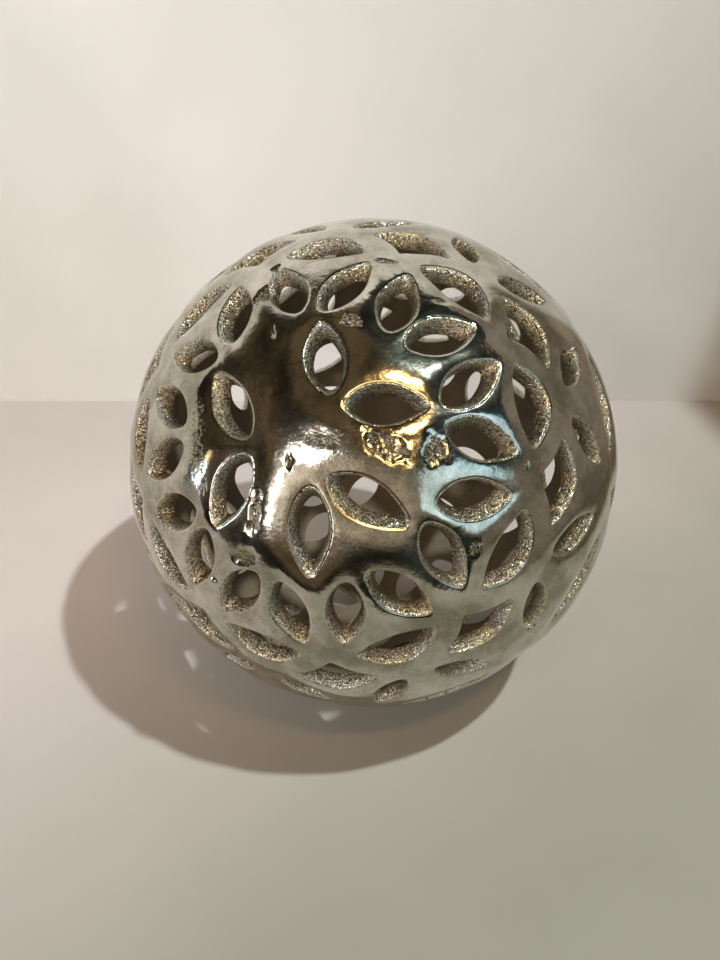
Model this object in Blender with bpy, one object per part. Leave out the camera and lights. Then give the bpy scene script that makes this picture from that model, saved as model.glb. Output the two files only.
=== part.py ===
# Decorative sphere: a hollow ball cast in aluminium as one piece and pierced with
# leaves, scallops and diamonds. Metres, +Z up. It rests on a small flat spot whose
# centre is the origin, and the middle of its flower faces the front (-Y) and up.

import math

import bmesh
import bpy
from mathutils import Vector
from mathutils.geometry import delaunay_2d_cdt
from mathutils.kdtree import KDTree

# Driving sizes, in metres
SPHERE_DIAMETER = 0.150
WALL_THICKNESS = 0.005
OPENING_TAPER = 0.0012       # how far an opening narrows all round, through the wall
FOOT_RADIUS = 0.009          # flat spot that the ball rests on
FOOT_MARGIN = 0.0015         # solid metal kept round the flat spot

# How the ball lies, in degrees: where the middle of the flower points, and the turn about it
FLOWER_ELEVATION = 34.3      # above the horizon
FLOWER_HEADING = 17.1        # from the front towards the left
FLOWER_ROLL = -9.2
BACK_TURN = 10.0             # of the back half's pattern against the front half's

# The pattern, in degrees on the ball: azimuths run clockwise round the middle of the flower,
# and polar angles run from it, 0, to the middle of the back, 180.
# The nine spokes stand a degree or two off an even 40, as they were cut.
SPOKES = [20.0, 58.0, 97.0, 139.0, 179.0, 219.0, 257.0, 296.0, 338.0]

# Three pairs of leaves round the middle: azimuth of the pair, half spread of its inner tips,
# half spread of its outer tips, polar angle of the inner tips
CENTRE_PAIRS = [
    (38.0, 6.5, 34.0, 10.5),
    (153.0, 11.5, 26.5, 7.4),
    (269.5, 5.0, 38.5, 10.5),
]
CENTRE_OUTER_POLAR = 25.8
CENTRE_HALF_WIDTH = 4.2

# Wreaths of leaves, a pair on each spoke: half gap to the next pair and polar angle at the
# inner tips, half spread of the pair and polar angle at the outer tips, half width
LARGE_WREATH = {"inner": (4.2, 27.0), "outer": (5.8, 43.0), "half_width": 4.2}
SMALL_WREATH = {"inner": (3.6, 58.2), "outer": (5.4, 71.0), "half_width": 3.4}

# A belt of scallops between the spokes: polar angles of the inner arc, tips and outer arc
INNER_SCALLOPS = {"arcs": (42.9, 46.2, 52.2), "half_span": 12.8}
OUTER_SCALLOPS = {"arcs": (74.6, 78.0, 83.6), "half_span": 11.8}

# A belt of diamonds on the spokes: polar angles of the inner corner, sides and outer corner,
# and how far the inner and outer sides bow outwards
DIAMONDS = {"corners": (47.7, 54.8, 60.3), "half_span": 11.6, "bow": (0.8, 0.9)}
EQUATOR_DIAMONDS = {"inner_polar": 79.5, "half_span": 8.0, "bow": 1.2}

LEAF_BLUNTNESS = 0.80        # under 1 makes a leaf's ends rounder
LEAF_FULLNESS = 0.86         # under 1 moves a leaf's widest place towards its inner tip

# Fineness of the facets
SIDE_POINTS = 5              # between the two tips of a leaf or scallop
CORNER_POINTS = 2            # between two corners of a diamond
FOOT_POINTS = 16
FILL_POINTS = 1300           # spread over the ball, before those in and by the holes go
FILL_CLEARANCE = 2.6         # degrees from a fill point to the nearest edge
MAP_TOLERANCE = 1e-7

ALUMINIUM = (0.66, 0.64, 0.59, 1.0)

RADIUS = SPHERE_DIAMETER / 2
FOOT_ANGLE = math.asin(FOOT_RADIUS / RADIUS)
CENTRE_HEIGHT = RADIUS * math.cos(FOOT_ANGLE)


def flower_axes():
    """The flower's axis, and the directions of azimuth 0 and 90 about it."""
    elevation, heading = math.radians(FLOWER_ELEVATION), math.radians(FLOWER_HEADING)
    axis = Vector((-math.sin(heading) * math.cos(elevation),
                   -math.cos(heading) * math.cos(elevation),
                   math.sin(elevation)))
    level = Vector((0, 0, 1)).cross(axis).normalized()
    upright = axis.cross(level)
    roll = math.radians(FLOWER_ROLL)
    zero = math.cos(roll) * upright + math.sin(roll) * level
    quarter = zero.cross(axis)
    return axis, zero, quarter


AXIS, ZERO, QUARTER = flower_axes()
DOWN = Vector((0, 0, -1))


def direction(azimuth, polar):
    """Unit vector from the ball's centre."""
    a, p = math.radians(azimuth), math.radians(polar)
    return math.cos(p) * AXIS + math.sin(p) * (math.cos(a) * ZERO + math.sin(a) * QUARTER)


def eased(count):
    """Fractions between 0 and 1, without the ends, that crowd towards the ends."""
    return [(1 - math.cos(math.pi * i / (count + 1))) / 2 for i in range(1, count + 1)]


def leaf(inner, outer, half_width):
    """Outline of a leaf between two tips, each an (azimuth, polar) pair."""
    start, end = direction(*inner), direction(*outer)
    across = start.cross(end).normalized()

    def edge_point(t, sign):
        bulge = math.sin(math.pi * t ** LEAF_FULLNESS) ** LEAF_BLUNTNESS
        offset = math.radians(half_width) * bulge * sign
        return math.cos(offset) * start.slerp(end, t) + math.sin(offset) * across

    steps = eased(SIDE_POINTS)
    return ([start] + [edge_point(t, 1) for t in steps]
            + [end] + [edge_point(t, -1) for t in reversed(steps)])


def scallop(azimuth, arcs, half_span):
    """Outline of a lens that lies along the belt."""
    inner, tips, outer = arcs

    def edge_point(t, apex):
        u = 2 * t - 1
        return direction(azimuth + half_span * u, tips + (apex - tips) * (1 - u * u))

    steps = eased(SIDE_POINTS)
    return ([edge_point(0, tips)] + [edge_point(t, inner) for t in steps]
            + [edge_point(1, tips)] + [edge_point(t, outer) for t in reversed(steps)])


def diamond(corners, bows):
    """Outline through four (azimuth, polar) corners, each side bowed in polar angle."""
    points = []
    for i, bow in enumerate(bows):
        start, end = corners[i], corners[(i + 1) % 4]
        for j in range(CORNER_POINTS + 1):
            t = j / (CORNER_POINTS + 1)
            azimuth = start[0] + (end[0] - start[0]) * t
            polar = start[1] + (end[1] - start[1]) * t + bow * 4 * t * (1 - t)
            points.append(direction(azimuth, polar))
    return points


def half_pattern(turned, place):
    """Outlines on one half of the ball; turned shifts azimuths, place maps a polar angle."""
    outlines = []
    for azimuth, inner_spread, outer_spread, inner_polar in CENTRE_PAIRS:
        for side in (-1, 1):
            outlines.append(leaf((azimuth + turned + side * inner_spread, place(inner_polar)),
                                 (azimuth + turned + side * outer_spread, place(CENTRE_OUTER_POLAR)),
                                 CENTRE_HALF_WIDTH))
    for i, spoke in enumerate(SPOKES):
        to_last = (spoke - SPOKES[i - 1]) % 360
        to_next = (SPOKES[(i + 1) % len(SPOKES)] - spoke) % 360
        spoke += turned
        between = spoke + to_next / 2
        for wreath in (LARGE_WREATH, SMALL_WREATH):
            half_gap, inner_polar = wreath["inner"]
            spread, outer_polar = wreath["outer"]
            for side, room in ((-1, to_last), (1, to_next)):
                outlines.append(leaf((spoke + side * (room / 2 - half_gap), place(inner_polar)),
                                     (spoke + side * spread, place(outer_polar)),
                                     wreath["half_width"]))
        for belt in (INNER_SCALLOPS, OUTER_SCALLOPS):
            outlines.append(scallop(between, [place(p) for p in belt["arcs"]], belt["half_span"]))
        inner, sides, outer = [place(p) for p in DIAMONDS["corners"]]
        span, outward = DIAMONDS["half_span"], place(1) - place(0)
        near, far = [bow * outward for bow in DIAMONDS["bow"]]
        outlines.append(diamond([(spoke, inner), (spoke + span, sides),
                                 (spoke, outer), (spoke - span, sides)], [near, far, far, near]))
    return outlines


def equator_pattern():
    """Diamonds across the equator, leaning where the back half is turned."""
    outlines = []
    inner, span, bow = [EQUATOR_DIAMONDS[key] for key in ("inner_polar", "half_span", "bow")]
    for spoke in SPOKES:
        middle = spoke + BACK_TURN / 2
        outlines.append(diamond([(spoke, inner), (middle + span, 90),
                                 (spoke + BACK_TURN, 180 - inner), (middle - span, 90)],
                                [bow, -bow, -bow, bow]))
    return outlines


def clear_of_foot(outline):
    """Whether a hole leaves the metal round the flat spot whole."""
    keep_out = FOOT_ANGLE + FOOT_MARGIN / RADIUS
    return min(point.angle(DOWN) for point in outline) > keep_out


def flat_map(point):
    """Stereographic map from the lowest point, which keeps round things round."""
    return point.xy / (1 + point.z)


def ball_map(flat):
    """The unit vector that a point of the map stands for."""
    spread = flat.length_squared
    return Vector((2 * flat.x, 2 * flat.y, 1 - spread)) / (1 + spread)


def flat_area(outline):
    """Area of a mapped outline, positive where it runs anticlockwise."""
    flat = [flat_map(point) for point in outline]
    return sum(a.cross(b) for a, b in zip(flat, flat[1:] + flat[:1])) / 2


def hole_outlines():
    """Every hole's outline, as unit vectors, anticlockwise on the map."""
    outlines = half_pattern(0, lambda polar: polar)
    outlines += half_pattern(BACK_TURN, lambda polar: 180 - polar)
    outlines += equator_pattern()
    outlines = [outline for outline in outlines if clear_of_foot(outline)]
    return [outline if flat_area(outline) > 0 else outline[::-1] for outline in outlines]


def spiral_points(outlines):
    """Points spread evenly over the ball, clear of the holes' edges and the flat spot."""
    edges = KDTree(sum(len(outline) for outline in outlines))
    for i, edge in enumerate(edge for outline in outlines for edge in outline):
        edges.insert(edge, i)
    edges.balance()
    golden_turn = math.pi * (3 - math.sqrt(5))
    clearance = math.radians(FILL_CLEARANCE)
    points = []
    for i in range(FILL_POINTS):
        height = 1 - 2 * (i + 0.5) / FILL_POINTS
        ring = math.sqrt(1 - height * height)
        point = Vector((ring * math.cos(golden_turn * i), ring * math.sin(golden_turn * i), height))
        if edges.find(point)[2] > clearance and point.angle(DOWN) > FOOT_ANGLE + clearance:
            points.append(point)
    return points


def foot_ring():
    """Points round the flat spot."""
    turns = [2 * math.pi * i / FOOT_POINTS for i in range(FOOT_POINTS)]
    return [Vector((math.sin(FOOT_ANGLE) * math.cos(turn), math.sin(FOOT_ANGLE) * math.sin(turn),
                    -math.cos(FOOT_ANGLE))) for turn in turns]


def pierced_surface():
    """The ball's outer surface, open at its holes and flat at its foot."""
    outlines = hole_outlines()
    points, loops = [], []
    for outline in outlines:
        loops.append(list(range(len(points), len(points) + len(outline))))
        points += outline
    points += spiral_points(outlines) + foot_ring()
    places, _, facets, sources, _, holes = delaunay_2d_cdt(
        [flat_map(point) for point in points], [], loops, 0, MAP_TOLERANCE)

    bm = bmesh.new()
    taper = bm.verts.layers.float_vector.new("taper")
    vertices = [bm.verts.new(ball_map(place) * RADIUS) for place in places]
    for facet, in_holes in zip(facets, holes):
        if not in_holes:
            bm.faces.new([vertices[i] for i in facet])
    given = {source: vertex for vertex, origin in zip(vertices, sources) for source in origin}
    for outline, loop in zip(outlines, loops):
        middle = sum(outline, Vector()) / len(outline)
        reach = sum((point - middle).length for point in outline) / len(outline) * RADIUS
        for point, source in zip(outline, loop):
            given[source][taper] = (middle - point) * OPENING_TAPER / reach
    foot = [given[i] for i in range(len(points) - FOOT_POINTS, len(points))]
    for vertex in foot:
        vertex.co.z = -CENTRE_HEIGHT
    bm.faces.new(foot)
    unused = [vertex for vertex in bm.verts if not vertex.link_faces]
    bmesh.ops.delete(bm, geom=unused, context="VERTS")
    bmesh.ops.recalc_face_normals(bm, faces=bm.faces)
    if sum(face.normal.dot(face.calc_center_median()) for face in bm.faces) < 0:
        bmesh.ops.reverse_faces(bm, faces=bm.faces)
    return bm


def thicken(bm):
    """Gives the surface its wall, inwards, with openings that narrow through it."""
    taper = bm.verts.layers.float_vector["taper"]
    bmesh.ops.solidify(bm, geom=bm.faces[:], thickness=WALL_THICKNESS)
    for vertex in bm.verts:
        radius = vertex.co.length
        if radius < CENTRE_HEIGHT - WALL_THICKNESS / 2:
            vertex.co = (vertex.co + vertex[taper] * radius).normalized() * radius


def aluminium():
    material = bpy.data.materials.new("cast_aluminium")
    material.use_nodes = True
    shader = material.node_tree.nodes["Principled BSDF"]
    shader.inputs["Base Color"].default_value = ALUMINIUM
    shader.inputs["Metallic"].default_value = 1.0
    shader.inputs["Roughness"].default_value = 0.28
    return material


def pierced_sphere(collection):
    """The whole casting."""
    mesh = bpy.data.meshes.new("pierced_sphere")
    bm = pierced_surface()
    thicken(bm)
    bm.to_mesh(mesh)
    bm.free()
    mesh.shade_smooth()
    mesh.set_sharp_from_angle(angle=math.radians(35))
    mesh.materials.append(aluminium())
    ball = bpy.data.objects.new("pierced_sphere", mesh)
    ball.location.z = CENTRE_HEIGHT
    collection.objects.link(ball)
    return ball


def build():
    for old in list(bpy.data.objects):
        bpy.data.objects.remove(old)
    collection = bpy.data.collections.new("decorative_sphere")
    bpy.context.scene.collection.children.link(collection)
    pierced_sphere(collection)


build()
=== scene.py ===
import math

import bmesh
import bpy
from mathutils import Matrix, Vector, noise
from mathutils.geometry import delaunay_2d_cdt, interpolate_bezier
from mathutils.kdtree import KDTree


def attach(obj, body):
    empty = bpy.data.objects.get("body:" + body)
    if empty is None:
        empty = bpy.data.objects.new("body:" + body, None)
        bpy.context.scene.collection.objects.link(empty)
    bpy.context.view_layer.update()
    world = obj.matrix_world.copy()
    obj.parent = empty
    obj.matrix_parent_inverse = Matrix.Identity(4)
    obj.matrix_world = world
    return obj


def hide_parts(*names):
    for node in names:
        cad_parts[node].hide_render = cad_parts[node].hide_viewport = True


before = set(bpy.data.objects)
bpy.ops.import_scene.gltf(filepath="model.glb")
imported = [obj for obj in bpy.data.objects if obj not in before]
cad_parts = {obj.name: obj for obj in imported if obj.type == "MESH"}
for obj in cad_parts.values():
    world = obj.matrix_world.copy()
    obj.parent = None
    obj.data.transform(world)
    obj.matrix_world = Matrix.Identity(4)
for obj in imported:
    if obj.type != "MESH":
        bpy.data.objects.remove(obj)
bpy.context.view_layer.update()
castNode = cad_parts["pierced_sphere"]
scene = bpy.context.scene
down = Vector((0, 0, -1))


# Centre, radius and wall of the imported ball, from the points of its own mesh
def measureBall(mesh):
    points = [vert.co.copy() for vert in mesh.vertices]
    top = max(points, key=lambda point: point.z)
    side = max(points, key=lambda point: point.x)
    height = (top.length_squared - side.length_squared) / (2 * (top.z - side.z))
    centre = Vector((0, 0, height))
    radius = (top - centre).length
    inner = min((point - centre).length for point in points if point.z > height)
    return centre, radius, radius - inner


ballCentre, ballRadius, wallThickness = measureBall(castNode.data)
footAngle = math.acos(ballCentre.z / ballRadius)
print(f"ball of {ballRadius * 2000:.1f} mm with a wall of {wallThickness * 1000:.1f} mm")


# Camera, where the photo was taken from
cameraLook = {
    "picture": (720, 960),         # width and height of the photo in pixels
    "focalPixels": 950.8,          # focal length in pixels of the photo
    "ballPixel": (372, 463.5),     # where the ball's centre shows
    "distance": 4.0,               # from the ball's centre, in ball radii
    "pitch": 33.0,                 # degrees that it looks down
}


def pixelRay(pixel):
    width, height = cameraLook["picture"]
    pitch = math.radians(cameraLook["pitch"])
    forward = Vector((0, math.cos(pitch), -math.sin(pitch)))
    upward = Vector((0, math.sin(pitch), math.cos(pitch)))
    across = (pixel[0] - width / 2) / cameraLook["focalPixels"]
    below = (pixel[1] - height / 2) / cameraLook["focalPixels"]
    return (forward + Vector((across, 0, 0)) - upward * below).normalized()


def makeCamera():
    data = bpy.data.cameras.new("camera")
    data.sensor_width = 36
    data.lens = cameraLook["focalPixels"] / cameraLook["picture"][1] * data.sensor_width
    data.clip_start = 0.01
    made = bpy.data.objects.new("camera", data)
    scene.collection.objects.link(made)
    made.rotation_euler = (math.radians(90 - cameraLook["pitch"]), 0, 0)
    reach = cameraLook["distance"] * ballRadius
    made.location = ballCentre - pixelRay(cameraLook["ballPixel"]) * reach
    scene.camera = made
    return made


camera = makeCamera()
print("camera placed")


# Direction from the ball's centre to the place on the ball that shows at a pixel of the photo
def spotFromPixel(pixel):
    ray = pixelRay(pixel)
    fromCentre = camera.location - ballCentre
    along = ray.dot(fromCentre)
    step = -along - math.sqrt(along ** 2 - fromCentre.length_squared + ballRadius ** 2)
    return (fromCentre + ray * step).normalized()


# Where something stands whose mirror image shows on the ball at a pixel of the photo
def placeInReflection(pixel, distance):
    spot = spotFromPixel(pixel)
    surface = ballCentre + spot * ballRadius
    incoming = (surface - camera.location).normalized()
    return surface + incoming.reflect(spot) * distance, surface


# Direction along the ball's surface at a spot, turned anticlockwise from level
def alongSurface(spot, turn):
    level = (Vector((1, 0, 0)) - spot * spot.x).normalized()
    return Matrix.Rotation(math.radians(turn), 3, spot) @ level


def smoothStep(low, high, value):
    share = min(max((value - low) / (high - low), 0), 1)
    return share * share * (3 - 2 * share)


# Node helpers
def addNode(tree, kind, inputs=None, **settings):
    made = tree.nodes.new(kind)
    for name, value in settings.items():
        setattr(made, name, value)
    for name, value in (inputs or {}).items():
        if isinstance(value, bpy.types.NodeSocket):
            tree.links.new(value, made.inputs[name])
        else:
            made.inputs[name].default_value = value
    return made


def mixValue(tree, factor, first, second):
    return addNode(tree, "ShaderNodeMix", {0: factor, 2: first, 3: second}).outputs[0]


def mixColour(tree, factor, first, second, blend="MIX"):
    mix = addNode(tree, "ShaderNodeMix", data_type="RGBA", blend_type=blend)
    for index, value in ((0, factor), (6, first), (7, second)):
        if isinstance(value, bpy.types.NodeSocket):
            tree.links.new(value, mix.inputs[index])
        else:
            mix.inputs[index].default_value = value
    return mix.outputs[2]


def mapRange(tree, value, fromLow, fromHigh, toLow, toHigh):
    return addNode(tree, "ShaderNodeMapRange",
                   {"Value": value, "From Min": fromLow, "From Max": fromHigh,
                    "To Min": toLow, "To Max": toHigh}, interpolation_type="SMOOTHSTEP").outputs[0]


def mathNode(tree, operation, first, second=0.0):
    return addNode(tree, "ShaderNodeMath", {0: first, 1: second}, operation=operation).outputs[0]


# Multiplies a colour by a grey value
def shadeColour(tree, colour, shade):
    grey = addNode(tree, "ShaderNodeCombineColor", {0: shade, 1: shade, 2: shade}).outputs[0]
    return mixColour(tree, 1.0, colour, grey, "MULTIPLY")


# Normal of a surface raised by a height in metres
def raisedNormal(tree, height):
    return addNode(tree, "ShaderNodeBump",
                   {"Height": height, "Strength": 1.0, "Distance": 1.0}).outputs[0]


def noiseTexture(tree, position, scale, detail=0.0, roughness=0.5):
    return addNode(tree, "ShaderNodeTexNoise",
                   {"Vector": position, "Scale": scale, "Detail": detail,
                    "Roughness": roughness}).outputs["Fac"]


def newGroup(name, inputs, outputs):
    group = bpy.data.node_groups.new(name, "ShaderNodeTree")
    for label, kind, value in inputs:
        socket = group.interface.new_socket(label, in_out="INPUT", socket_type=kind)
        if value is not None:
            socket.default_value = value
    for label in outputs:
        group.interface.new_socket(label, in_out="OUTPUT", socket_type="NodeSocketFloat")
    return group, group.nodes.new("NodeGroupInput"), group.nodes.new("NodeGroupOutput")


grainLook = {
    "crumbScale": 0.45,       # of the clumps, against the single grains
    "crumbs": 1.3,            # height of the clumps
    "glintScale": 1.2,
    "glints": (0.42, 0.62),   # noise that is a dull and a bright grain
}


# Sandy grain of metal as it came from the mould
def makeCastGrain():
    group, given, result = newGroup(
        "castGrain",
        [("Position", "NodeSocketVector", None), ("Grains per metre", "NodeSocketFloat", None)],
        ["Height", "Glint"])
    position, scale = given.outputs["Position"], given.outputs["Grains per metre"]
    sand = addNode(group, "ShaderNodeTexVoronoi", {"Vector": position, "Scale": scale},
                   feature="F1").outputs["Distance"]
    crumbScale = mathNode(group, "MULTIPLY", scale, grainLook["crumbScale"])
    crumbs = noiseTexture(group, position, crumbScale, 1.0, 0.6)
    crumbs = mathNode(group, "MULTIPLY", crumbs, grainLook["crumbs"])
    glintScale = mathNode(group, "MULTIPLY", scale, grainLook["glintScale"])
    glint = noiseTexture(group, position, glintScale)
    group.links.new(mathNode(group, "ADD", crumbs, sand), result.inputs["Height"])
    group.links.new(mapRange(group, glint, *grainLook["glints"], 0.0, 1.0), result.inputs["Glint"])
    return group


wearLook = {
    # Turn and stretch of the scratches in each direction
    "scratches": (((0.3, 0.2, 0.5), (90, 3600, 3600)), ((1.1, 0.7, -0.6), (60, 4200, 4200))),
    "scratchEdge": (0.60, 0.74),
    "hazeScale": 75.0,
    "hazeEdge": (0.36, 0.66),
    "tarnishScale": 60.0,
    "tarnishEdge": (0.38, 0.64),
}


# Fine polishing scratches in two directions, with cloudy patches where they are thicker
def makePolishWear():
    group, given, result = newGroup(
        "polishWear", [("Position", "NodeSocketVector", None)], ["Scratches", "Haze", "Tarnish"])
    position = given.outputs["Position"]
    scratches = None
    for turn, stretch in wearLook["scratches"]:
        turned = addNode(group, "ShaderNodeMapping",
                         {"Vector": position, "Rotation": turn, "Scale": stretch}).outputs[0]
        lines = noiseTexture(group, turned, 1.0, 1.0)
        thin = mapRange(group, lines, *wearLook["scratchEdge"], 0.0, 1.0)
        scratches = thin if scratches is None else mathNode(group, "MAXIMUM", scratches, thin)
    haze = noiseTexture(group, position, wearLook["hazeScale"], 4.0, 0.6)
    haze = mapRange(group, haze, *wearLook["hazeEdge"], 0.0, 1.0)
    tarnish = noiseTexture(group, position, wearLook["tarnishScale"], 7.0, 0.68)
    tarnish = mapRange(group, tarnish, *wearLook["tarnishEdge"], 0.0, 1.0)
    shown = mathNode(group, "MULTIPLY", scratches, mathNode(group, "ADD", haze, 0.3))
    group.links.new(shown, result.inputs["Scratches"])
    group.links.new(haze, result.inputs["Haze"])
    group.links.new(tarnish, result.inputs["Tarnish"])
    return group


castGrain, polishWear = makeCastGrain(), makePolishWear()


def useGroup(tree, group, **inputs):
    made = addNode(tree, "ShaderNodeGroup", node_tree=group)
    for name, value in inputs.items():
        socket = made.inputs[name.replace("_", " ")]
        if isinstance(value, bpy.types.NodeSocket):
            tree.links.new(value, socket)
        else:
            socket.default_value = value
    return made


def newMaterial(name):
    material = bpy.data.materials.new(name)
    material.use_nodes = True
    tree = material.node_tree
    shader = tree.nodes["Principled BSDF"]
    position = addNode(tree, "ShaderNodeTexCoord").outputs["Object"]
    return material, tree, shader, position


polishedLook = {
    "bright": (0.69, 0.66, 0.585, 1),     # clean metal
    "dull": (0.355, 0.34, 0.27, 1),       # where the polish has yellowed
    "chipped": (0.33, 0.27, 0.18, 1),     # bare casting in the flaws
    "pitted": (0.03, 0.025, 0.015, 1),    # between its grains
    "specksPerMetre": 1500.0,             # of bare casting where it is scattered
    "speckled": (0.76, 1.08),             # unevenness of the metal's tone, as fine as the specks
    "roughness": (0.10, 0.18),            # clear and hazy polish
    "scratchRoughness": 0.20,
    "chippedRoughness": 0.26,
    "ripples": 0.00010,                   # left by the polishing wheel, and how many to a metre
    "ripplesPerMetre": 230.0,
    "satin": 0.000026,                    # fine marks of the last polish, in hazy places
    "satinPerMetre": 1500.0,
    "bareEdge": (0.90, 1.06),             # specks and bareness together, from polish to casting
    "grainEdge": (0.90, 1.20),            # height of the grain, from pit to top
    "grainDepth": 0.00018,
    "grainsPerMetre": 2400.0,
}


def polishedSkin():
    material, tree, shader, position = newMaterial("polished_skin")
    look = polishedLook
    wear = useGroup(tree, polishWear, Position=position)
    grain = useGroup(tree, castGrain, Position=position, Grains_per_metre=look["grainsPerMetre"])
    bare = addNode(tree, "ShaderNodeAttribute", attribute_name="rough").outputs["Fac"]
    specks = noiseTexture(tree, position, look["specksPerMetre"], 2.0)
    chipped = mapRange(tree, mathNode(tree, "ADD", specks, bare), *look["bareEdge"], 0.0, 1.0)
    metal = mixColour(tree, wear.outputs["Tarnish"], look["bright"], look["dull"])
    shade = mapRange(tree, specks, 0.35, 0.65, *look["speckled"])
    metal = mixColour(tree, wear.outputs["Haze"], metal, shadeColour(tree, metal, shade))
    pits = mapRange(tree, grain.outputs["Height"], *look["grainEdge"], 1.0, 0.0)
    casting = mixColour(tree, pits, look["chipped"], look["pitted"])
    tree.links.new(mixColour(tree, chipped, metal, casting), shader.inputs["Base Color"])
    clear, hazy = look["roughness"]
    polish = mixValue(tree, wear.outputs["Haze"], clear, hazy)
    polish = mixValue(tree, wear.outputs["Scratches"], polish, look["scratchRoughness"])
    roughness = mixValue(tree, chipped, polish, look["chippedRoughness"])
    tree.links.new(roughness, shader.inputs["Roughness"])
    shader.inputs["Metallic"].default_value = 1.0
    ripples = noiseTexture(tree, position, look["ripplesPerMetre"], 2.0)
    ripples = mathNode(tree, "MULTIPLY", ripples, look["ripples"])
    satin = noiseTexture(tree, position, look["satinPerMetre"], 1.0)
    satin = mathNode(tree, "MULTIPLY", mathNode(tree, "MULTIPLY", satin, wear.outputs["Haze"]),
                     look["satin"])
    pitted = mathNode(tree, "MULTIPLY", grain.outputs["Height"], chipped)
    pitted = mathNode(tree, "MULTIPLY", pitted, look["grainDepth"])
    height = mathNode(tree, "ADD", mathNode(tree, "ADD", ripples, satin), pitted)
    tree.links.new(raisedNormal(tree, height), shader.inputs["Normal"])
    return material


wallLook = {
    "metal": (0.71, 0.705, 0.645, 1),
    "golden": (0.72, 0.63, 0.46, 1),      # stained in places
    "hollow": (0.110, 0.094, 0.066, 1),   # in the pits between the grains
    # painted shade: the wall's metal turns darker towards the inside of the ball, where little
    # light reaches
    "depthShade": (0.26, 0.215, 0.155, 1),      # towards the inside of the ball
    "roughness": (0.12, 0.34),            # of bright and dull grains
    "depthShadeEdge": 0.35,                     # share of the wall, from outside, before it gets darker
    "grainEdge": (0.84, 1.12),
    "grainDepth": 0.00025,
    "grainsPerMetre": 2500.0,
}


def castWall():
    material, tree, shader, position = newMaterial("cast_wall")
    look = wallLook
    grain = useGroup(tree, castGrain, Position=position, Grains_per_metre=look["grainsPerMetre"])
    fromCentre = addNode(tree, "ShaderNodeVectorMath", {0: position, 1: tuple(ballCentre)},
                         operation="DISTANCE").outputs["Value"]
    # painted shade, darkening the wall from a share of it below the outside towards the inside of
    # the ball
    depthShade = mapRange(tree, fromCentre, ballRadius - wallThickness,
                    ballRadius - wallThickness * look["depthShadeEdge"], 1.0, 0.0)
    hollow = mapRange(tree, grain.outputs["Height"], *look["grainEdge"], 1.0, 0.0)
    stain = useGroup(tree, polishWear, Position=position).outputs["Tarnish"]
    metal = mixColour(tree, stain, look["metal"], look["golden"])
    metal = mixColour(tree, hollow, metal, look["hollow"])
    tree.links.new(mixColour(tree, depthShade, metal, look["depthShade"]), shader.inputs["Base Color"])
    rough = mixValue(tree, grain.outputs["Glint"], *look["roughness"])
    tree.links.new(rough, shader.inputs["Roughness"])
    shader.inputs["Metallic"].default_value = 1.0
    bare = addNode(tree, "ShaderNodeAttribute", attribute_name="rough").outputs["Fac"]
    height = mathNode(tree, "MULTIPLY", mathNode(tree, "MULTIPLY", grain.outputs["Height"], bare),
                      look["grainDepth"])
    tree.links.new(raisedNormal(tree, height), shader.inputs["Normal"])
    return material


# The inner skin's dark brown is partly the casting's own rough tone and partly painted shade, for
# the dim inside of the ball
innerLook = {
    "skin": (0.230, 0.180, 0.118, 1),
    "bare": (0.280, 0.225, 0.150, 1),     # paler patches
    "metallic": 0.2,
    "roughness": (0.5, 0.62),
    "grainDepth": 0.00008,
    "grainsPerMetre": 1300.0,
}


def innerSkin():
    material, tree, shader, position = newMaterial("inner_skin")
    look = innerLook
    grain = useGroup(tree, castGrain, Position=position, Grains_per_metre=look["grainsPerMetre"])
    wear = useGroup(tree, polishWear, Position=position)
    tree.links.new(mixColour(tree, wear.outputs["Haze"], look["skin"], look["bare"]),
                   shader.inputs["Base Color"])
    shader.inputs["Metallic"].default_value = look["metallic"]
    rough = mixValue(tree, grain.outputs["Glint"], *look["roughness"])
    tree.links.new(rough, shader.inputs["Roughness"])
    height = mathNode(tree, "MULTIPLY", grain.outputs["Height"], look["grainDepth"])
    tree.links.new(raisedNormal(tree, height), shader.inputs["Normal"])
    return material


# How every flaw of the casting is shaped
flawShape = {
    "ragged": ((0.0028, 0.42), (0.0010, 0.16)),   # length of its edge's raggedness, and how much
    "raggedFrom": 0.003,                          # half width of a flaw that has all of it
    "crumbs": ((0.0030, 0.6), (0.0014, 0.15)),    # length of its floor's lumps, and how much
    "dipEdge": (0.05, 1.1),                       # from its middle, as shares of its size
    "bareEdge": (0.35, 1.2),
}

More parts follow.
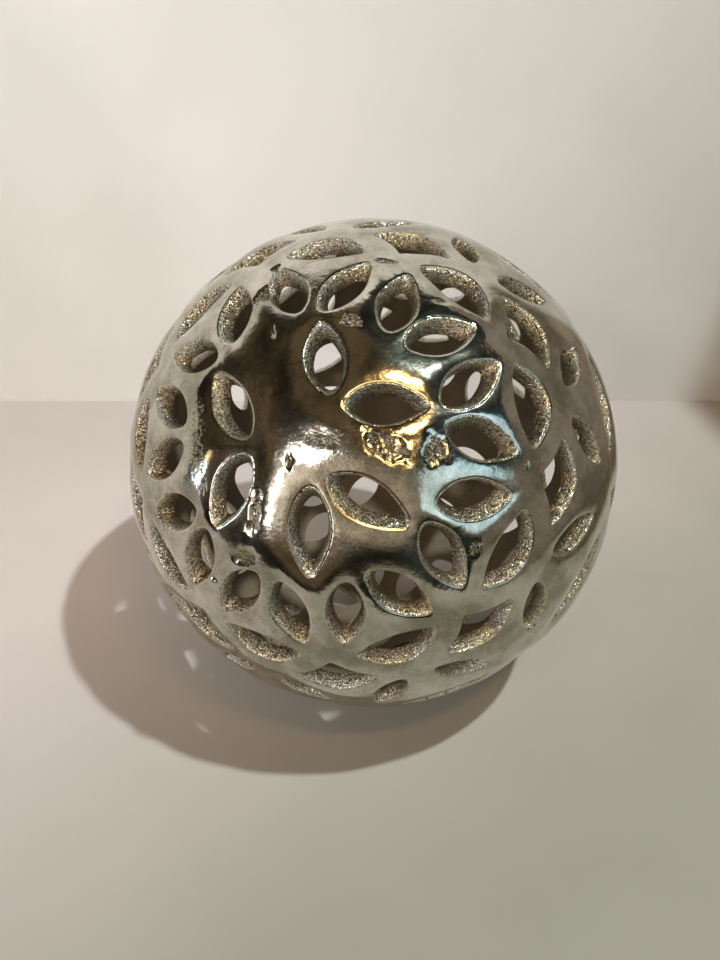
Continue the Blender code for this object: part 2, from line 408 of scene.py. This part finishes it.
# The flaws. Each lies where it shows in the photo, with its length and width in millimetres, the
# turn of its length in degrees, anticlockwise from level, its depth in millimetres, and how much
# of it is bare casting.
flawLook = {
    "recessByTopLeaf": {"pixel": (351, 318), "size": (8.5, 6.0),
                        "turn": -25, "depth": 0.2, "bare": 0.55},
    "goldenRecess": {"pixel": (385, 444), "size": (13.5, 6.5),
                     "turn": -30, "depth": 0.55, "bare": 0.42},
    "pointedRecess": {"pixel": (437, 450), "size": (10.5, 7.5),
                      "turn": -75, "depth": 0.6, "bare": 0.52},
    "upperScuffs": {"pixel": (325, 436), "size": (15.0, 6.0),
                    "turn": -8, "depth": 0.14, "bare": 0.41},
    "slot": {"pixel": (288, 462), "size": (5.5, 1.5),
             "turn": 90, "depth": 0.6, "bare": 0.5},
    "longCrack": {"pixel": (254, 514), "size": (16.0, 4.4),
                  "turn": 82, "depth": 0.75, "bare": 0.42},
    "crackFoot": {"pixel": (244, 558), "size": (9.0, 5.0),
                  "turn": 25, "depth": 0.8, "bare": 0.5},
    "lump": {"pixel": (212, 583), "size": (4.6, 3.4),
             "turn": -10, "depth": -0.7, "bare": 0.3},
    "besideLump": {"pixel": (220, 592), "size": (4.6, 1.8),
                   "turn": -55, "depth": 0.9, "bare": 0.4},
    "squiggle": {"pixel": (275, 267), "size": (4.6, 3.0),
                 "turn": 40, "depth": 0.9, "bare": 0.4},
    "darkChip": {"pixel": (268, 289), "size": (12.0, 6.0),
                 "turn": 38, "depth": 1.2, "bare": 0.64},
    "nick": {"pixel": (272, 330), "size": (8.0, 1.6),
             "turn": 100, "depth": 0.5, "bare": 0.3},
    "leftSpeckles": {"pixel": (195, 440), "size": (34.0, 8.0),
                     "turn": 96, "depth": 0.08, "bare": 0.41},
    "topPits": {"pixel": (386, 260), "size": (9.0, 3.0),
                "turn": -12, "depth": 0.45, "bare": 0.5},
    "rightPits": {"pixel": (441, 300), "size": (4.5, 2.2),
                  "turn": -10, "depth": 0.35, "bare": 0.5},
    "bluePit": {"pixel": (527, 466), "size": (3.4, 2.2),
                "turn": 60, "depth": 0.5, "bare": 0.4},
    "blueSpeckles": {"pixel": (476, 549), "size": (7.0, 5.0),
                     "turn": 45, "depth": 0.10, "bare": 0.42},
}


def placeFlaws():
    placed = []
    for look in flawLook.values():
        spot = spotFromPixel(look["pixel"])
        along = alongSurface(spot, look["turn"])
        length, width = [size * 0.0005 for size in look["size"]]
        placed.append({"spot": spot, "along": along, "across": spot.cross(along), "length": length,
                       "width": width, "depth": look["depth"] * 0.001, "bare": look["bare"],
                       "reach": 1.4 * length / ballRadius})
    return placed


flaws = placeFlaws()


# How far the flaws sink a place on the ball, and how bare they leave it
def flawAt(direction):
    dip, bare = 0.0, 0.0
    for flaw in flaws:
        if flaw["spot"].angle(direction) > flaw["reach"]:
            continue
        offset = (direction - flaw["spot"]) * ballRadius
        point = direction * ballRadius
        ragged = sum(much * noise.noise(point / length) for length, much in flawShape["ragged"])
        ragged *= min(flaw["width"] / flawShape["raggedFrom"], 1)
        away = math.hypot(offset.dot(flaw["along"]) / flaw["length"],
                          offset.dot(flaw["across"]) / flaw["width"]) + ragged
        (long, more), (short, less) = flawShape["crumbs"]
        crumbs = (1 + more * noise.noise(point / long + Vector((3, 7, 1)))
                  + less * noise.noise(point / short + Vector((8, 2, 5))))
        dip += flaw["depth"] * crumbs * (1 - smoothStep(*flawShape["dipEdge"], away))
        bare = max(bare, flaw["bare"] * (1 - smoothStep(*flawShape["bareEdge"], away)))
    return dip, bare


castLook = {
    "flowerMiddle": (34.3, 17.1),     # degrees above the horizon, and from the front to the left
    "pointSpacing": 0.0011,           # round an opening
    "cornerTurn": 40,                 # an outline that turns more than this has a corner there
    "cornerPasses": 2,                # of smoothing, which round the corners
    "wobble": 0.00022,                # unevenness of a hand-finished outline
    "wobbleLength": 0.007,
    # Pairs are for openings in the flower and far from it
    "flowerEdge": (40, 52),           # degrees from its middle where the one turns into the other
    "lipWidth": (0.0007, 0.0006),
    "lipFall": (0.0010, 0.0008),      # from the skin to the inner edge of a lip
    "taper": (0.0021, 0.0013),        # how far an opening narrows all round, through the wall
    "lipSlope": (32, 74),             # degrees that a lip leans at its outer and inner edge
    "lipRoughness": 0.5,              # of a lip, against the bare casting
    "lipRows": 3,
    "wallRows": 5,
    "lumps": ((0.0026, 1.0), (0.0014, 0.7)),   # length of the cast wall's lumps, and how much
    "lumpHeight": 0.00014,
    "dish": 0.00050,                  # soft fall of the polished metal towards an opening
    "dishReach": 0.0060,
    "waves": ((0.026, 0.00040), (0.011, 0.00012)),   # length and height of the polisher's waves
    "rings": (0.0006, 0.0015),        # from an opening to the closer rows of points round it
    "skinSpacing": 0.0017,
    "flawSpacing": 0.00050,
    "innerSpacing": 0.0050,
    "innerBulge": (0.012, 0.0003),    # length and height
    "footPoints": 48,
    "footInset": 0.004,
}


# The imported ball's openings, each as the directions of its outline's points
def packedOutlines():
    shell = bmesh.new()
    shell.from_mesh(castNode.data)
    bmesh.ops.remove_doubles(shell, verts=shell.verts, dist=1e-6)
    halfway = ballRadius - wallThickness / 2
    inner = [vert for vert in shell.verts if (vert.co - ballCentre).length < halfway]
    bmesh.ops.delete(shell, geom=inner, context="VERTS")
    outlines = []
    for edge in shell.edges:
        if edge.tag or not edge.is_boundary:
            continue
        edge.tag = True
        first, vert = edge.verts
        outline = [first.co - ballCentre]
        while vert is not first:
            outline.append(vert.co - ballCentre)
            step = next(e for e in vert.link_edges if e.is_boundary and not e.tag)
            step.tag = True
            vert = step.other_vert(vert)
        outlines.append(outline)
    shell.free()
    return outlines


# Map of the ball from its lowest point, which keeps round things round
def flatMap(direction):
    return direction.xy / (1 + direction.z)


def ballMap(flat):
    spread = flat.length_squared
    return Vector((2 * flat.x, 2 * flat.y, 1 - spread)) / (1 + spread)


def anticlockwise(outline):
    flat = [flatMap(point.normalized()) for point in outline]
    area = sum(a.cross(b) for a, b in zip(flat, flat[1:] + flat[:1]))
    return outline if area > 0 else outline[::-1]


# Runs a smooth curve through an outline's points, broken at its corners
def curveOutline(outline):
    count = len(outline)
    turns = [(outline[i] - outline[i - 1]).angle(outline[(i + 1) % count] - outline[i])
             for i in range(count)]
    sharp = [turn > math.radians(castLook["cornerTurn"]) for turn in turns]
    finer = []
    for i, start in enumerate(outline):
        j = (i + 1) % count
        end = outline[j]
        chord = (end - start).normalized()
        leaving = (end - outline[i - 1]).normalized()
        arriving = (outline[(j + 1) % count] - start).normalized()
        if sharp[i] and sharp[j]:
            leaving = arriving = chord
        elif sharp[i]:
            leaving = 2 * chord.dot(arriving) * chord - arriving
        elif sharp[j]:
            arriving = 2 * chord.dot(leaving) * chord - leaving
        length = (end - start).length
        steps = max(1, round(length / castLook["pointSpacing"]))
        finer += interpolate_bezier(start, start + leaving * length / 3,
                                    end - arriving * length / 3, end, steps + 1)[:-1]
    for _ in range(castLook["cornerPasses"]):
        finer = [(finer[i - 1] + finer[i] * 2 + finer[(i + 1) % len(finer)]) / 4
                 for i in range(len(finer))]
    return [point.normalized() for point in finer]


# Directions along the surface from an outline's points into the metal
def intoMetal(outline):
    count = len(outline)
    return [(outline[(i + 1) % count] - outline[i - 1]).cross(outline[i]).normalized()
            for i in range(count)]


def makeOpenings():
    openings = []
    for outline in packedOutlines():
        edge = curveOutline(anticlockwise(outline))
        away = intoMetal(edge)
        for i, point in enumerate(edge):
            bend = noise.noise(point * ballRadius / castLook["wobbleLength"])
            edge[i] = (point + away[i] * bend * castLook["wobble"] / ballRadius).normalized()
        middle = sum(edge, Vector()) / len(edge)
        openings.append({"edge": edge, "away": intoMetal(edge), "middle": middle})
    return openings


openings = makeOpenings()
edgeTree = KDTree(sum(len(opening["edge"]) for opening in openings))
edgeSpots = [(number, i) for number, opening in enumerate(openings)
             for i in range(len(opening["edge"]))]
for index, (number, i) in enumerate(edgeSpots):
    edgeTree.insert(openings[number]["edge"][i] * ballRadius, index)
edgeTree.balance()
print(f"{len(openings)} openings, {len(edgeSpots)} points round them")


# The sizes that change from the flower's openings to those far from it, and the shares of the
# way to its middle that an opening's lip and whole wall take
def sizeOpenings():
    elevation, heading = [math.radians(angle) for angle in castLook["flowerMiddle"]]
    flower = Vector((-math.sin(heading) * math.cos(elevation),
                     -math.cos(heading) * math.cos(elevation), math.sin(elevation)))
    for opening in openings:
        share = smoothStep(*castLook["flowerEdge"], math.degrees(opening["middle"].angle(flower)))
        for size in ("lipWidth", "lipFall", "taper"):
            near, far = castLook[size]
            opening[size] = near + (far - near) * share
        edge = opening["edge"]
        reach = sum((point - opening["middle"]).length for point in edge) / len(edge) * ballRadius
        opening["lipShare"] = opening["lipWidth"] / reach
        opening["wallShare"] = opening["taper"] / reach


sizeOpenings()


# Openings that lean: where each shows in the photo, which way its inner outline is shifted, in
# degrees anticlockwise from level, and how far
leanLook = {
    "lowLeaf": {"pixel": (368, 500), "turn": 50, "shift": 0.0014},
    "lowRightLeaf": {"pixel": (478, 496), "turn": 115, "shift": 0.0012},
    "rightLeaf": {"pixel": (481, 438), "turn": -80, "shift": 0.0010},
    "upperRightLeaf": {"pixel": (470, 384), "turn": 180, "shift": 0.0010},
    "topRightLeaf": {"pixel": (443, 336), "turn": -110, "shift": 0.0010},
    "middleLeaf": {"pixel": (387, 403), "turn": -90, "shift": 0.0005},
    "leftLeaf": {"pixel": (233, 408), "turn": 0, "shift": 0.0010},
    "lowestLeaf": {"pixel": (443, 553), "turn": 170, "shift": 0.0008},
}


def leanOpenings():
    for opening in openings:
        opening["lean"] = Vector()
    for look in leanLook.values():
        spot = spotFromPixel(look["pixel"])
        nearest = min(openings, key=lambda opening: opening["middle"].angle(spot))
        nearest["lean"] = alongSurface(spot, look["turn"]) * look["shift"] / ballRadius


leanOpenings()


# Height of the polisher's waves at a direction, always inwards, and none by the flat spot
def wavesAt(direction):
    point = direction * ballRadius
    total = 0.0
    for length, height in castLook["waves"]:
        total += height * (0.5 + 0.5 * noise.noise(point / length + Vector((5, 2, 8))))
    clear = smoothStep(footAngle, footAngle + 0.12, direction.angle(down))
    return total * clear


def dishAt(distance):
    return castLook["dish"] * (1 - min(distance / castLook["dishReach"], 1)) ** 2


# Point of the polished skin, relative to the ball's centre, kept flat on the flat spot
def skinPoint(direction, distance, fall=0.0):
    dip, rough = flawAt(direction)
    point = direction * (ballRadius - wavesAt(direction) - dishAt(distance) - dip - fall)
    point.z = max(point.z, -ballCentre.z)
    return point, rough


# How far in and down a lip has come at a row, both as shares
def lipProfile(row):
    start, end = [math.radians(angle) for angle in castLook["lipSlope"]]
    angle = start + (end - start) * min(row / castLook["lipRows"], 1)
    inwards = (math.sin(angle) - math.sin(start)) / (math.sin(end) - math.sin(start))
    downwards = (math.cos(start) - math.cos(angle)) / (math.cos(start) - math.cos(end))
    return inwards, downwards


# Point on a row of an opening: lip rows come first, from the skin inwards, then the wall's rows
def openingPoint(number, i, row):
    opening = openings[number]
    edge, away, middle = opening["edge"][i], opening["away"][i], opening["middle"]
    lipRows, wallRows = castLook["lipRows"], castLook["wallRows"]
    inwards, downwards = lipProfile(row)
    direction = edge.lerp(middle, opening["lipShare"] * inwards).normalized()
    point, rough = skinPoint(direction, 0.0, opening["lipFall"] * downwards)
    if row == 0:
        return point, rough
    if row < lipRows:
        return point, max(rough, castLook["lipRoughness"])
    share = (row - lipRows) / wallRows
    inner = (edge.lerp(middle, opening["wallShare"]) + opening["lean"]).normalized()
    point = point.lerp(inner * (ballRadius - wallThickness), share)
    (long, more), (short, less) = castLook["lumps"]
    lump = more * noise.noise(point / long) + less * noise.noise(point / short + Vector((9, 4, 2)))
    ease = 0.35 if row == lipRows or share == 1 else 1.0
    return point + away * lump * castLook["lumpHeight"] * ease, 1.0


# Whether a direction is in the metal, that far from the nearest opening and from the flat spot
def inMetal(direction, clearance):
    if direction.angle(down) < footAngle + clearance / ballRadius:
        return False
    nearest, index, gap = edgeTree.find(direction * ballRadius)
    number, i = edgeSpots[index]
    beyond = (direction * ballRadius - nearest).dot(openings[number]["away"][i])
    return beyond > 0 and gap > clearance


# Directions spread evenly over the ball, in the metal and clear of the openings' lips
def fillDirections(spacing, clearance):
    count = round(4 * math.pi * ballRadius ** 2 / spacing ** 2)
    golden = math.pi * (3 - math.sqrt(5))
    found = []
    for i in range(count):
        height = 1 - 2 * (i + 0.5) / count
        ring = math.sqrt(1 - height * height)
        found.append(Vector((ring * math.cos(golden * i), ring * math.sin(golden * i), height)))
    return [direction for direction in found if inMetal(direction, clearance)]


# Rows of points beside the openings, where no other opening is closer
def ringDirections():
    found = []
    for opening in openings:
        for i, point in enumerate(opening["edge"]):
            for row, gap in enumerate(castLook["rings"]):
                direction = (point + opening["away"][i] * gap / ballRadius).normalized()
                if (i + row) % (row + 1) == 0 and inMetal(direction, gap * 0.93):
                    found.append(direction)
    return found


# Closer points over the flaws
def flawDirections():
    spacing = castLook["flawSpacing"]
    found = []
    for flaw in flaws:
        steps = [math.ceil(1.1 * flaw[size] / spacing) for size in ("length", "width")]
        for a in range(-steps[0], steps[0] + 1):
            for b in range(-steps[1], steps[1] + 1):
                if math.hypot(a / (steps[0] + 0.5), b / (steps[1] + 0.5)) > 1:
                    continue
                shift = flaw["along"] * (a + 0.5 * (b % 2)) + flaw["across"] * b
                direction = (flaw["spot"] * ballRadius + shift * spacing).normalized()
                if inMetal(direction, spacing * 0.6):
                    found.append(direction)
    return found


def footRing(bm, radius, height):
    ring = bmesh.ops.create_circle(bm, segments=castLook["footPoints"], radius=radius)["verts"]
    bmesh.ops.translate(bm, verts=ring, vec=(0, 0, height))
    return ring


# Covers the ball between the rims of its openings, down to the foot's ring
def coverBall(bm, rims, foot, fill, pointAt, outwards):
    given = [vert for rim in rims for vert in rim] + foot
    loops, start = [], 0
    for rim in rims:
        loops.append(list(range(start, start + len(rim))))
        start += len(rim)
    flat = [flatMap(vert.co.normalized()) for vert in given] + [flatMap(point) for point in fill]
    places, _, facets, sources, _, inside = delaunay_2d_cdt(flat, [], loops, 0, 1e-7)
    verts = []
    for place, origin in zip(places, sources):
        known = [given[i] for i in origin if i < len(given)]
        verts.append(known[0] if known else pointAt(bm, ballMap(place)))
    made = []
    for facet, opening in zip(facets, inside):
        corners = [verts[i] for i in (facet if outwards else facet[::-1])]
        if not opening and len(set(corners)) == len(corners):
            made.append(bm.faces.new(corners))
    ringEdges = [bm.edges.get((foot[i - 1], foot[i])) for i in range(len(foot))]
    sole = bmesh.ops.contextual_create(bm, geom=ringEdges)["faces"]
    bmesh.ops.inset_region(bm, faces=sole, thickness=castLook["footInset"])
    bmesh.ops.poke(bm, faces=sole)
    return made


def castShell():
    bm = bmesh.new()
    spotLayer = bm.verts.layers.int.new("spot")
    roughLayer = bm.verts.layers.float.new("rough")
    indexOf = {spot: index for index, spot in enumerate(edgeSpots)}

    def place(vert, row):
        number, i = edgeSpots[vert[spotLayer]]
        vert.co, vert[roughLayer] = openingPoint(number, i, row)

    rims = []
    for number, opening in enumerate(openings):
        rim = []
        for i in range(len(opening["edge"])):
            vert = bm.verts.new()
            vert[spotLayer] = indexOf[(number, i)]
            place(vert, 0)
            rim.append(vert)
        rims.append(rim)

    def outerPoint(bm, direction):
        gap = edgeTree.find(direction * ballRadius)[2]
        vert = bm.verts.new()
        vert.co, vert[roughLayer] = skinPoint(direction, gap)
        return vert

    foot = footRing(bm, math.sin(footAngle) * ballRadius, -ballCentre.z)
    clearance = castLook["rings"][1] + castLook["skinSpacing"] * 0.4
    fill = fillDirections(castLook["skinSpacing"], clearance)
    fill += ringDirections() + flawDirections()
    coverBall(bm, rims, foot, fill, outerPoint, True)
    print(f"outer skin: {len(bm.faces)} faces")

    loose = [vert for vert in bm.verts if not vert.link_faces]
    bmesh.ops.delete(bm, geom=loose, context="VERTS")
    rim = [edge for edge in bm.edges if edge.is_boundary]
    for row in range(1, castLook["lipRows"] + castLook["wallRows"] + 1):
        fresh = bmesh.ops.extrude_edge_only(bm, edges=rim)["geom"]
        ring = [item for item in fresh if isinstance(item, bmesh.types.BMVert)]
        rim = [item for item in fresh if isinstance(item, bmesh.types.BMEdge) and item.is_boundary]
        for vert in ring:
            place(vert, row)
        for item in fresh:
            if isinstance(item, bmesh.types.BMFace):
                item.material_index = 1
    print(f"lips and walls: {len(bm.faces)} faces")

    byOpening = {}
    for vert in ring:
        number, i = edgeSpots[vert[spotLayer]]
        byOpening.setdefault(number, {})[i] = vert
    rims = [[points[i] for i in sorted(points)] for _, points in sorted(byOpening.items())]
    innerRadius = ballRadius - wallThickness

    def innerPoint(bm, direction):
        length, height = castLook["innerBulge"]
        bulge = height * noise.noise(direction * ballRadius / length)
        return bm.verts.new(direction * (innerRadius + bulge))

    foot = footRing(bm, math.sin(footAngle) * innerRadius, -math.cos(footAngle) * innerRadius)
    fill = fillDirections(castLook["innerSpacing"], castLook["innerSpacing"] * 0.4)
    for face in coverBall(bm, rims, foot, fill, innerPoint, False):
        face.material_index = 2
    loose = [vert for vert in bm.verts if not vert.link_faces]
    bmesh.ops.delete(bm, geom=loose, context="VERTS")
    bmesh.ops.recalc_face_normals(bm, faces=bm.faces)
    if bm.calc_volume(signed=True) < 0:
        bmesh.ops.reverse_faces(bm, faces=bm.faces)
    triangles = sum(len(face.verts) - 2 for face in bm.faces)
    openEdges = sum(not edge.is_manifold for edge in bm.edges)
    print(f"shell: {triangles} triangles, {openEdges} open edges")
    bmesh.ops.translate(bm, verts=bm.verts, vec=ballCentre)

    bm.verts.layers.int.remove(bm.verts.layers.int["spot"])
    mesh = bpy.data.meshes.new("castShell")
    bm.to_mesh(mesh)
    bm.free()
    mesh.shade_smooth()
    mesh.set_sharp_from_angle(angle=math.radians(62))
    for material in (polishedSkin(), castWall(), innerSkin()):
        mesh.materials.append(material)
    shell = bpy.data.objects.new("castShell", mesh)
    scene.collection.objects.link(shell)
    return shell


shell = castShell()
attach(shell, "root")
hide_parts("pierced_sphere")


# Floor and pale walls round the ball, seen from their inner side only. Their tone changes from the
# first to the second over a reach along a direction. This is painted shade: the floor darker and
# greener towards the front and right, the back wall darker towards the right, the left wall darker
# low down and the right wall darker all over.
stageLook = {
    "floor": {"along": (-0.9, 1, 0), "reach": (-0.16, 0.12),
              "shadedTones": ((0.315, 0.315, 0.27, 1), (0.58, 0.525, 0.51, 1)),
              "corners": [(-0.90, -0.19, 0), (-0.10, -0.20, 0), (0.26, -0.32, 0),
                          (0.90, -0.32, 0), (0.90, 0.18, 0), (-0.90, 0.18, 0)]},
    "backWall": {"along": (1, 0, 0), "reach": (-0.20, 0.30),
                 "shadedTones": ((0.92, 0.91, 0.91, 1), (0.59, 0.59, 0.59, 1)),
                 "corners": [(-0.215, 0.18, 0), (0.26, 0.18, 0), (0.26, 0.18, 0.58),
                             (-0.04, 0.18, 0.60), (-0.215, 0.18, 0.38)]},
    "leftWall": {"along": (0, 0, 1), "reach": (0.0, 0.3),
                 "shadedTones": ((0.78, 0.74, 0.70, 1), (0.88, 0.85, 0.81, 1)),
                 "corners": [(-0.215, -0.04, 0), (-0.215, 0.18, 0), (-0.215, 0.18, 0.38),
                             (-0.215, 0.05, 0.23), (-0.215, -0.04, 0.13)]},
    "rightWall": {"along": (0, 1, 0), "reach": (-0.2, 0.2),
                  "shadedTones": ((0.48, 0.45, 0.41, 1), (0.50, 0.47, 0.44, 1)),
                  "corners": [(0.26, 0.18, 0), (0.26, -0.32, 0), (0.26, -0.30, 0.07),
                              (0.26, -0.14, 0.21), (0.26, -0.01, 0.40), (0.26, 0.09, 0.52),
                              (0.26, 0.18, 0.58)]},
}
stageFinish = {"fibreScale": 9.0, "fibreTones": (0.95, 1.03), "roughness": 0.8, "gloss": 0.25}


def stageMaterial(name, look):
    material, tree, shader, position = newMaterial(name)
    place = addNode(tree, "ShaderNodeVectorMath", {0: position, 1: look["along"]},
                    operation="DOT_PRODUCT").outputs["Value"]
    # painted shade: the stage's tone darkens along a direction, as if its light fell off
    shadedTone = mixColour(tree, mapRange(tree, place, *look["reach"], 0.0, 1.0), *look["shadedTones"])
    fibre = noiseTexture(tree, position, stageFinish["fibreScale"], 5.0)
    shade = mapRange(tree, fibre, 0.3, 0.7, *stageFinish["fibreTones"])
    tree.links.new(shadeColour(tree, shadedTone, shade), shader.inputs["Base Color"])
    shader.inputs["Roughness"].default_value = stageFinish["roughness"]
    shader.inputs["Specular IOR Level"].default_value = stageFinish["gloss"]
    back = addNode(tree, "ShaderNodeNewGeometry").outputs["Backfacing"]
    clear = addNode(tree, "ShaderNodeBsdfTransparent").outputs[0]
    sides = addNode(tree, "ShaderNodeMixShader", {0: back, 1: shader.outputs[0], 2: clear})
    tree.links.new(sides.outputs[0], tree.nodes["Material Output"].inputs["Surface"])
    return material


def makeStage():
    for name, look in stageLook.items():
        bm = bmesh.new()
        bm.faces.new([bm.verts.new(corner) for corner in look["corners"]])
        mesh = bpy.data.meshes.new(name)
        bm.to_mesh(mesh)
        bm.free()
        mesh.materials.append(stageMaterial(name, look))
        made = bpy.data.objects.new(name, mesh)
        scene.collection.objects.link(made)


makeStage()
print("stage built")


# Lights, each where its reflection shows on the ball in the photo. The main one lights the
# scene from one place and shows its glint from another close by.
lightLook = {
    "mainGlint": {"pixel": (436, 368), "distance": 1.2, "size": (0.21, 0.06),
                  "colour": (0.88, 1.0, 0.90), "watts": 5.0, "lights": False},
    "main": {"pixel": (426, 368), "distance": 1.2, "size": (0.045, 0.03),
             "colour": (0.94, 1.0, 1.0), "watts": 12.7, "glints": False},
    "windowTop": {"pixel": (312, 458), "distance": 0.9, "size": (0.27, 0.08),
                  "colour": (1.0, 0.95, 0.94), "watts": 1.05},
    "windowSide": {"pixel": (279, 500), "distance": 0.9, "size": (0.08, 0.40),
                   "colour": (1.0, 0.95, 0.94), "watts": 1.05},
    "windowGlow": {"pixel": (292, 492), "distance": 0.9, "size": (0.34, 0.46),
                   "colour": (1.0, 0.93, 0.86), "watts": 0.4},
    "gold": {"pixel": (402, 405), "distance": 0.9, "size": (0.16, 0.05),
             "colour": (1.0, 0.62, 0.24), "watts": 1.2},
    "goldLow": {"pixel": (394, 446), "distance": 0.9, "size": (0.22, 0.09),
                "colour": (1.0, 0.66, 0.30), "watts": 0.7},
    "blue": {"pixel": (464, 480), "distance": 0.9, "size": (0.58, 0.42),
             "colour": (0.60, 0.85, 1.0), "watts": 1.0},
    "blueSpot": {"pixel": (203, 481), "distance": 0.9, "size": (0.05, 0.09),
                 "colour": (0.75, 0.90, 1.0), "watts": 0.4},
    "goldSpot": {"pixel": (211, 462), "distance": 0.9, "size": (0.04, 0.04),
                 "colour": (1.0, 0.72, 0.35), "watts": 0.07},
}


def addLight(name, place, target, size, colour, watts):
    data = bpy.data.lights.new(name, "AREA")
    data.shape = "RECTANGLE"
    data.size, data.size_y = size
    data.color = colour
    data.energy = watts
    made = bpy.data.objects.new(name, data)
    made.location = place
    made.rotation_euler = (Vector(place) - Vector(target)).to_track_quat("Z", "Y").to_euler()
    made.visible_camera = False
    scene.collection.objects.link(made)
    return made


def makeLights():
    for name, look in lightLook.items():
        place, target = placeInReflection(look["pixel"], look["distance"])
        made = addLight(name, place, target, look["size"], look["colour"], look["watts"])
        made.visible_diffuse = look.get("lights", True)
        made.visible_glossy = look.get("glints", True)


# The room beyond the stage: dim, brown and cluttered in reflections, and plain and pale where
# the camera looks past the stage
roomLook = {
    "dark": (0.012, 0.010, 0.008, 1),
    "brown": (0.115, 0.080, 0.042, 1),
    "teal": (0.020, 0.048, 0.042, 1),
    "cool": (0.0, 0.25),               # X where brown turns into teal
    "clutter": 2.2,                    # size of the blurred shapes, larger is finer
    "clutterEdge": (0.40, 0.62),
    # Low in front, on the left and on the right
    "lit": ((0.57, 0.47, 0.35, 1), (0.33, 0.275, 0.205, 1)),
    "litAcross": (-0.3, 0.4),          # X from the one to the other
    "litFrom": (-0.16, 0.18),          # Z where it starts
    "litTo": (0.30, 0.60),             # Z where it ends
    "litAhead": (-0.85, -0.55),        # Y where it ends
    "seen": (0.55, 0.50, 0.46, 1),
    "strength": 1.0,
}


def makeRoom():
    look = roomLook
    world = bpy.data.worlds.new("room")
    world.use_nodes = True
    tree = world.node_tree
    tree.nodes.clear()
    direction = addNode(tree, "ShaderNodeTexCoord").outputs["Generated"]
    shapes = noiseTexture(tree, direction, look["clutter"], 2.0)
    parts = addNode(tree, "ShaderNodeSeparateXYZ", {0: direction}).outputs
    cool = mapRange(tree, parts["X"], *look["cool"], 0.0, 1.0)
    tint = mixColour(tree, cool, look["brown"], look["teal"])
    clutter = mapRange(tree, shapes, *look["clutterEdge"], 0.0, 1.0)
    room = mixColour(tree, clutter, look["dark"], tint)
    raised = mapRange(tree, parts["Z"], *look["litFrom"], 0.0, 1.0)
    low = mapRange(tree, parts["Z"], *look["litTo"], 1.0, 0.0)
    ahead = mapRange(tree, parts["Y"], *look["litAhead"], 1.0, 0.0)
    lit = mathNode(tree, "MULTIPLY", mathNode(tree, "MULTIPLY", raised, low), ahead)
    glow = mixColour(tree, mapRange(tree, parts["X"], *look["litAcross"], 0.0, 1.0), *look["lit"])
    room = mixColour(tree, lit, room, glow)
    seen = addNode(tree, "ShaderNodeLightPath").outputs["Is Camera Ray"]
    dim = addNode(tree, "ShaderNodeBackground", {"Color": room, "Strength": look["strength"]})
    pale = addNode(tree, "ShaderNodeBackground", {"Color": look["seen"], "Strength": 1.0})
    mix = addNode(tree, "ShaderNodeMixShader", {0: seen, 1: dim.outputs[0], 2: pale.outputs[0]})
    output = addNode(tree, "ShaderNodeOutputWorld")
    tree.links.new(mix.outputs[0], output.inputs["Surface"])
    scene.world = world


makeLights()
makeRoom()
scene.view_settings.view_transform = "Standard"
print("lights on")
